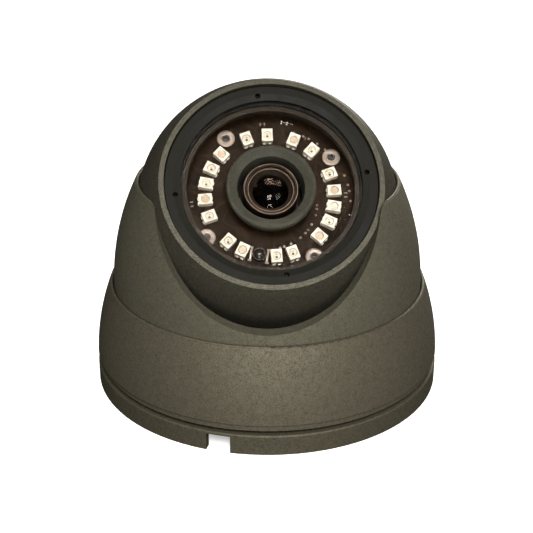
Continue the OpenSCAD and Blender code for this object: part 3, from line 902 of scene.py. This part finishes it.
@dataclass
class LedBoard:
    """What stands on the LED board, in the board's frame, in millimetres."""

    place: Matrix
    body: str = "eyeball"
    top: float = 9.5
    led_top: float = 11.4
    led_circle: float = 16.86
    led_length: float = 3.5
    led_width: float = 2.8
    well_depth: float = 0.8
    well_radius: float = 0.95
    resin_depth: float = 0.35
    die_radius: float = 0.33
    die_height: float = 0.07
    die_step: float = -0.3
    bond: Point = (0.5, 0.16, 0.04)
    bond_step: float = 0.42
    lead_foot: Point = (0.32, 0.8, 0.26)
    lead_foot_rise: float = 0.13
    lead_side: Point = (0.12, 0.7, 0.8)
    lead_side_rise: float = 0.4
    lead_out: float = 0.05
    lead_spread: float = 0.7
    seam_drop: float = 0.82
    seam_height: float = 0.12
    seam_proud: float = 0.04
    pad_circle: float = 20.0
    pad_outer: float = 2.37
    pad_hole: float = 1.05
    track_width: float = 0.28
    track_proud: float = 0.03
    track_sunk: float = 0.02
    spoke_width: float = 0.24
    spoke_height: float = 0.05
    via_count: int = 46
    via_inner: float = 12.6
    via_spread: float = 8.8
    via_clearance: float = 2.4
    cell_circle: float = 16.4
    cell_bracket: float = 2.15
    chip_size: Point = (0.9, 0.8, 0.42)
    chip_end: Point = (0.32, 0.82, 0.44)
    chip_end_step: float = 0.55
    mark_circle: float = 21.6
    mark_width: float = 0.28
    mark_height: float = 0.03
    dotted: Sequence[float] = (59, 102, 121, 164.9, 180, 211.5, 240, 285.2, 300, 31.5, 344.9)
    beige: Sequence[float] = (78, 148.5, 195.1, 254.8, 15.1, 328.5)
    faint: Sequence[float] = (0,)
    arcs: Sequence[Arc] = (
        Arc(13.2, 205, 48),
        Arc(13.2, 287, 46),
        Arc(14.0, 30, 40),
        Arc(14.0, 110, 38),
        Arc(21.4, 60, 60),
        Arc(21.4, 150, 58),
        Arc(21.4, 245, 62),
        Arc(21.4, 330, 55),
        Arc(12.6, 150, 40),
        Arc(12.6, 340, 40),
    )
    spokes: Sequence[float] = (8, 23, 70, 85, 95, 110, 157, 172, 188, 203, 248, 262, 293, 307, 338, 352)
    spoke_rows: Sequence[tuple[float, float]] = ((14.2, 1.9), (19.6, 2.2))
    chips: Sequence[Chip] = (
        Chip(20.6, 105, 15),
        Chip(20.4, 197, 107),
        Chip(19.9, 12, 102),
        Chip(13.4, 60, 60),
        Chip(20.9, 288, 18),
    )
    marks: Sequence[Mark] = (
        Mark(84, 0.9),
        Mark(88, 1.5),
        Mark(133, 0.7),
        Mark(222, 1.1),
        Mark(318, 0.8),
        Mark(354, 1.2),
    )

    def leds(self) -> list[tuple[float, LedKind]]:
        """Return each LED's angle and kind."""
        kinds = (
            (self.dotted, LedKind.DOTTED),
            (self.beige, LedKind.BEIGE),
            (self.faint, LedKind.FAINT),
        )
        return [(angle, kind) for angles, kind in kinds for angle in angles]

    def put(self, shape: Shape, name: str, finish: Finish, slot: str) -> None:
        """Make a shape a piece that rides on the board.

        Args:
            shape: the shape.
            name: the piece's name.
            finish: its finish.
            slot: the record's material slot.
        """
        shape.finish(name, self.place, self.body, finish, slot)

    def led_wells(self) -> None:
        """Make the resin in each LED's well, and the die and bond pad on the dotted ones."""
        resin, beige, dies = Shape(), Shape(), Shape()
        for angle, kind in self.leds():
            at = polar(self.led_circle, angle, self.led_top - self.well_depth)
            target = beige if kind is LedKind.BEIGE else resin
            target.disc(self.well_radius, self.resin_depth, at, 28)
            if kind is LedKind.DOTTED:
                top = at + Vector((0, 0, self.resin_depth))
                dies.disc(self.die_radius, self.die_height, top + self.face_step(self.die_step), 14)
                dies.block(self.bond, top + self.face_step(self.bond_step), -BOARD_TURN, 0.01)
        self.put(resin, "led_resin_wells", RESIN, "led_ceramic")
        self.put(beige, "led_phosphor_wells", RESIN_BEIGE, "led_ceramic")
        self.put(dies, "led_dies", DIE, "led_ceramic")

    def face_step(self, rise: float) -> Vector:
        """Return a step towards the top of the face, in the board's frame.

        Args:
            rise: the step's length.
        """
        return turned(-BOARD_TURN, (0, rise, 0))

    def led_leads(self) -> None:
        """Make the tinned leads at both ends of each LED, and the seam round its body."""
        leads, seams = Shape(), Shape()
        seam = (self.led_length + self.seam_proud, self.led_width + self.seam_proud, self.seam_height)
        out = self.led_length / 2 + self.lead_out
        for angle, _ in self.leds():
            for end in (-1, 1):
                for side in (-1, 1):
                    at = polar(self.led_circle, angle, self.top)
                    at += turned(angle, (end * out, side * self.lead_spread, 0))
                    leads.block(self.lead_foot, at + Vector((0, 0, self.lead_foot_rise)), angle, 0.06, 2)
                    leads.block(self.lead_side, at + Vector((0, 0, self.lead_side_rise)), angle, 0.03)
            seams.block(seam, polar(self.led_circle, angle, self.led_top - self.seam_drop), angle, 0.02)
        self.put(leads, "led_leads", LED_LEAD, "led_board_mask")
        self.put(seams, "led_seams", LED_SEAM, "led_ceramic")

    def pads(self) -> None:
        """Make the tinned rings round the four plated holes: a raised lip, then a flat with a groove."""
        rings = Shape()
        hole, outer, top = self.pad_hole, self.pad_outer, self.top
        barrel = ((hole - 0.03, top - 1.1), (hole, top + 0.16))
        lip = ((hole + 0.12, top + 0.24), (hole + 0.42, top + 0.22), (hole + 0.5, top + 0.12))
        groove = ((hole + 0.86, top + 0.15), (hole + 0.9, top + 0.11), (hole + 0.94, top + 0.15))
        edge = ((outer - 0.15, top + 0.13), (outer, top + 0.01), (outer - 0.2, top - 0.02))
        section = (*barrel, *lip, *groove, *edge, (hole + 0.04, top - 0.02))
        for corner in range(4):
            rings.ring(section, polar(self.pad_circle, 45 + 90 * corner), steps=40)
        self.put(rings, "board_pads", TINNED, "led_board_mask")

    def tracks(self) -> None:
        """Make the copper tracks that stand a little proud under the mask."""
        tracks = Shape()
        low, high = self.top - self.track_sunk, self.top + self.track_proud
        for arc in self.arcs:
            inner, outer = arc.radius, arc.radius + self.track_width
            section = ((inner, low), (inner, high), (outer, high), (outer, low))
            tracks.ring(section, start=arc.start, sweep=arc.sweep, steps=20)
        for angle in self.spokes:
            for radius, length in self.spoke_rows:
                size = (length, self.spoke_width, self.spoke_height)
                tracks.block(size, polar(radius, angle, self.top), angle, 0.02)
        self.put(tracks, "board_tracks", MASK_BROWN, "led_board_mask")

    def vias(self) -> None:
        """Make the small plated through-holes, scattered evenly and clear of the LEDs."""
        vias = Shape()
        low, high = self.top - self.track_sunk, self.top + self.track_proud
        section = ((0.14, low), (0.14, high), (0.3, high), (0.32, low))
        for index in range(self.via_count):
            radius = self.via_inner + (index * GOLDEN_SHARE % 1.0) * self.via_spread
            if abs(radius - self.led_circle) < self.via_clearance:
                continue
            vias.ring(section, polar(radius, index * GOLDEN_ANGLE), steps=10)
        self.put(vias, "board_vias", TINNED, "led_board_mask")

    def cell_brackets(self, ends: Shape) -> None:
        """Add the tinned brackets on both sides of the photocell.

        Args:
            ends: the shape that holds the tinned ends.
        """
        for side in (-1, 1):
            at = polar(self.cell_circle, 270, self.top + 0.35) + Vector((side * self.cell_bracket, 0, 0))
            ends.block((0.55, 3.4, 0.7), at, 0, 0.1, 2)
            for end in (-1, 1):
                ends.block((1.0, 0.5, 0.3), at + Vector((side * 0.1, end * 1.75, -0.2)), 0, 0.08)

    def small_parts(self) -> None:
        """Make the photocell's brackets, the chip resistors and the generic printed marks."""
        chips, ends, printed = Shape(), Shape(), Shape()
        self.cell_brackets(ends)
        for chip in self.chips:
            at = polar(chip.radius, chip.angle, self.top + 0.22)
            chips.block(self.chip_size, at, chip.turn, 0.05)
            for end in (-1, 1):
                step = turned(chip.turn, (end * self.chip_end_step, 0, 0))
                ends.block(self.chip_end, at + step, chip.turn, 0.05)
        for mark in self.marks:
            for size, turn in (
                ((mark.length, self.mark_width, self.mark_height), 0.0),
                ((self.mark_width, 0.9, self.mark_height), 3.2),
            ):
                at = polar(self.mark_circle, mark.angle + turn, self.top + 0.01)
                printed.block(size, at, mark.angle + 90, 0.01)
        self.put(chips, "chip_resistors", LENS_BLACK, "lens_black")
        self.put(ends, "tinned_ends", TINNED, "led_board_mask")
        self.put(printed, "printed_marks", SILK, "led_ceramic")

    def build(self) -> None:
        """Make everything on the board."""
        self.led_wells()
        self.led_leads()
        self.pads()
        self.tracks()
        self.vias()
        self.small_parts()


# ---------------------------------------------------------------- the lens


@dataclass
class LensDetail:
    """Thin lighter metal rings on the edges of the lens head and its front ring, in the board's frame, in
    millimetres: real metal sheen, with their lighter tone a painted edge highlight.
    """

    place: Matrix
    edge_radii: Sequence[float] = (6.88, 5.86)
    edge_heights: Sequence[float] = (15.09, 14.29)
    edge_width: float = 0.12
    edge_height: float = 0.05
    body: str = "eyeball"

    def edges(self) -> None:
        """Make the thin lighter rings on the edges of the lens head and of its front ring: a painted edge
        highlight on real metal sheen.
        """
        rings = Shape()
        for radius, height in zip(self.edge_radii, self.edge_heights):
            inner, outer = radius - self.edge_width / 2, radius + self.edge_width / 2
            top = height + self.edge_height
            rings.ring(((inner, height), (outer, height), (outer, top), (inner, top)))
        rings.finish("lens_edge_highlight_rings", self.place, self.body, LENS_EDGE_HIGHLIGHT, "lens_black")

    def build(self) -> None:
        """Make every detail of the lens."""
        self.edges()


# ---------------------------------------------------------------- light and camera


@dataclass
class Softbox:
    """A soft square light that faces a point."""

    name: str
    place: Point
    size: float
    power: float
    colour: Colour = (1.0, 0.97, 0.92)
    target: Point = (0.0, 0.0, 0.04)

    def build(self) -> None:
        """Add the light to the scene."""
        light = bpy.data.lights.new(self.name, "AREA")
        light.shape = "SQUARE"
        light.size = self.size
        light.energy = self.power
        light.color = self.colour
        lamp = bpy.data.objects.new(self.name, light)
        bpy.context.scene.collection.objects.link(lamp)
        lamp.location = self.place
        lamp.rotation_euler = (Vector(self.target) - lamp.location).to_track_quat("-Z", "Y").to_euler()


@dataclass
class Studio:
    """The floor, the lights, the surrounding light and the camera."""

    elevation: float = math.radians(24.32)
    roll: float = math.radians(0.23)
    distance: float = 0.3356
    target: Point = (-0.00022, 0.0, 0.03031)
    focal: float = 82.81
    sensor: float = 36.0
    floor_size: float = 3.0
    shade_inner: float = 0.036
    shade_outer: float = 0.047
    boxes: Sequence[Softbox] = field(
        default_factory=lambda: (
            Softbox("key_low", (0.06, -1.09, 0.19), 0.35, 5.0),
            Softbox("key_high", (0.06, -0.80, 0.80), 0.38, 13.0),
            Softbox("side_right", (0.60, -0.60, 0.75), 0.35, 1.5),
            Softbox("fill_back", (0.35, 0.95, 0.55), 0.50, 9.0),
        )
    )

    def floor(self) -> None:
        """Make the pale floor, which throws back less light than it shows, with a painted shadow under the
        object.
        """
        mesh = bmesh.new()
        bmesh.ops.create_grid(mesh, x_segments=1, y_segments=1, size=self.floor_size)
        data = bpy.data.meshes.new("floor")
        mesh.to_mesh(data)
        mesh.free()
        floor = bpy.data.objects.new("floor", data)
        bpy.context.scene.collection.objects.link(floor)
        material = bpy.data.materials.new("pale_floor")
        material.use_nodes = True
        graph = Graph(material.node_tree)
        output = graph.node("ShaderNodeOutputMaterial")
        where = graph.node("ShaderNodeTexCoord").outputs["Object"]
        away = graph.node("ShaderNodeVectorMath", {0: where}, operation="LENGTH").outputs["Value"]
        # The floor's glow fades to near nothing under the object: a painted contact shadow.
        glow = graph.ramp(away, self.shade_inner, self.shade_outer, 0.05, 1.0)
        seen = graph.node("ShaderNodeEmission", {"Color": (1.0, 1.0, 1.0), "Strength": glow})
        lit = graph.node("ShaderNodeBsdfDiffuse", {"Color": (0.80, 0.79, 0.77)})
        plain = graph.node("ShaderNodeAddShader", {0: seen.outputs[0], 1: lit.outputs[0]})
        dim = graph.node("ShaderNodeBsdfDiffuse", {"Color": (0.05, 0.048, 0.042)})
        path = graph.node("ShaderNodeLightPath").outputs["Is Camera Ray"]
        mixed = graph.node("ShaderNodeMixShader", {0: path, 1: dim.outputs[0], 2: plain.outputs[0]})
        graph.feed(output.inputs["Surface"], mixed.outputs[0])
        data.materials.append(material)

    def surroundings(self) -> None:
        """Make the white backdrop, which lights the object softly."""
        world = bpy.data.worlds.new("studio_world")
        bpy.context.scene.world = world
        world.use_nodes = True
        graph = Graph(world.node_tree)
        path = graph.node("ShaderNodeLightPath").outputs["Is Camera Ray"]
        seen = graph.node("ShaderNodeBackground", {"Color": (1.0, 1.0, 1.0), "Strength": 1.0})
        soft = graph.node("ShaderNodeBackground", {"Color": (1.0, 0.97, 0.92), "Strength": 0.05})
        mixed = graph.node("ShaderNodeMixShader", {0: path, 1: soft.outputs[0], 2: seen.outputs[0]})
        output = graph.node("ShaderNodeOutputWorld")
        graph.feed(output.inputs["Surface"], mixed.outputs[0])

    def camera(self) -> None:
        """Place the camera before the object, a little above it."""
        data = bpy.data.cameras.new("camera")
        data.lens = self.focal
        data.sensor_width = self.sensor
        data.clip_start = 0.01
        camera = bpy.data.objects.new("camera", data)
        bpy.context.scene.collection.objects.link(camera)
        away = Vector((0.0, -math.cos(self.elevation), math.sin(self.elevation)))
        turn = away.to_track_quat("Z", "Y").to_matrix().to_4x4()
        place = Matrix.Translation(Vector(self.target) + away * self.distance)
        camera.matrix_world = place @ turn @ Matrix.Rotation(self.roll, 4, "Z")
        bpy.context.scene.camera = camera

    def build(self) -> None:
        """Set up the whole studio."""
        self.floor()
        self.surroundings()
        for box in self.boxes:
            box.build()
        self.camera()
        bpy.context.scene.view_settings.view_transform = "Standard"


def main() -> None:
    """Build the looks piece by piece."""
    board = board_matrix()
    dress_nodes()
    LedBoard(board).build()
    LensDetail(board).build()
    Studio().build()


def plain(box: Sequence[Sequence[float]]) -> list[list[float]]:
    """Return a box as plain lists of numbers.

    Args:
        box: its lowest and highest corners.
    """
    return [[float(x) for x in corner] for corner in box]


if __name__ == "__main__":
    main()
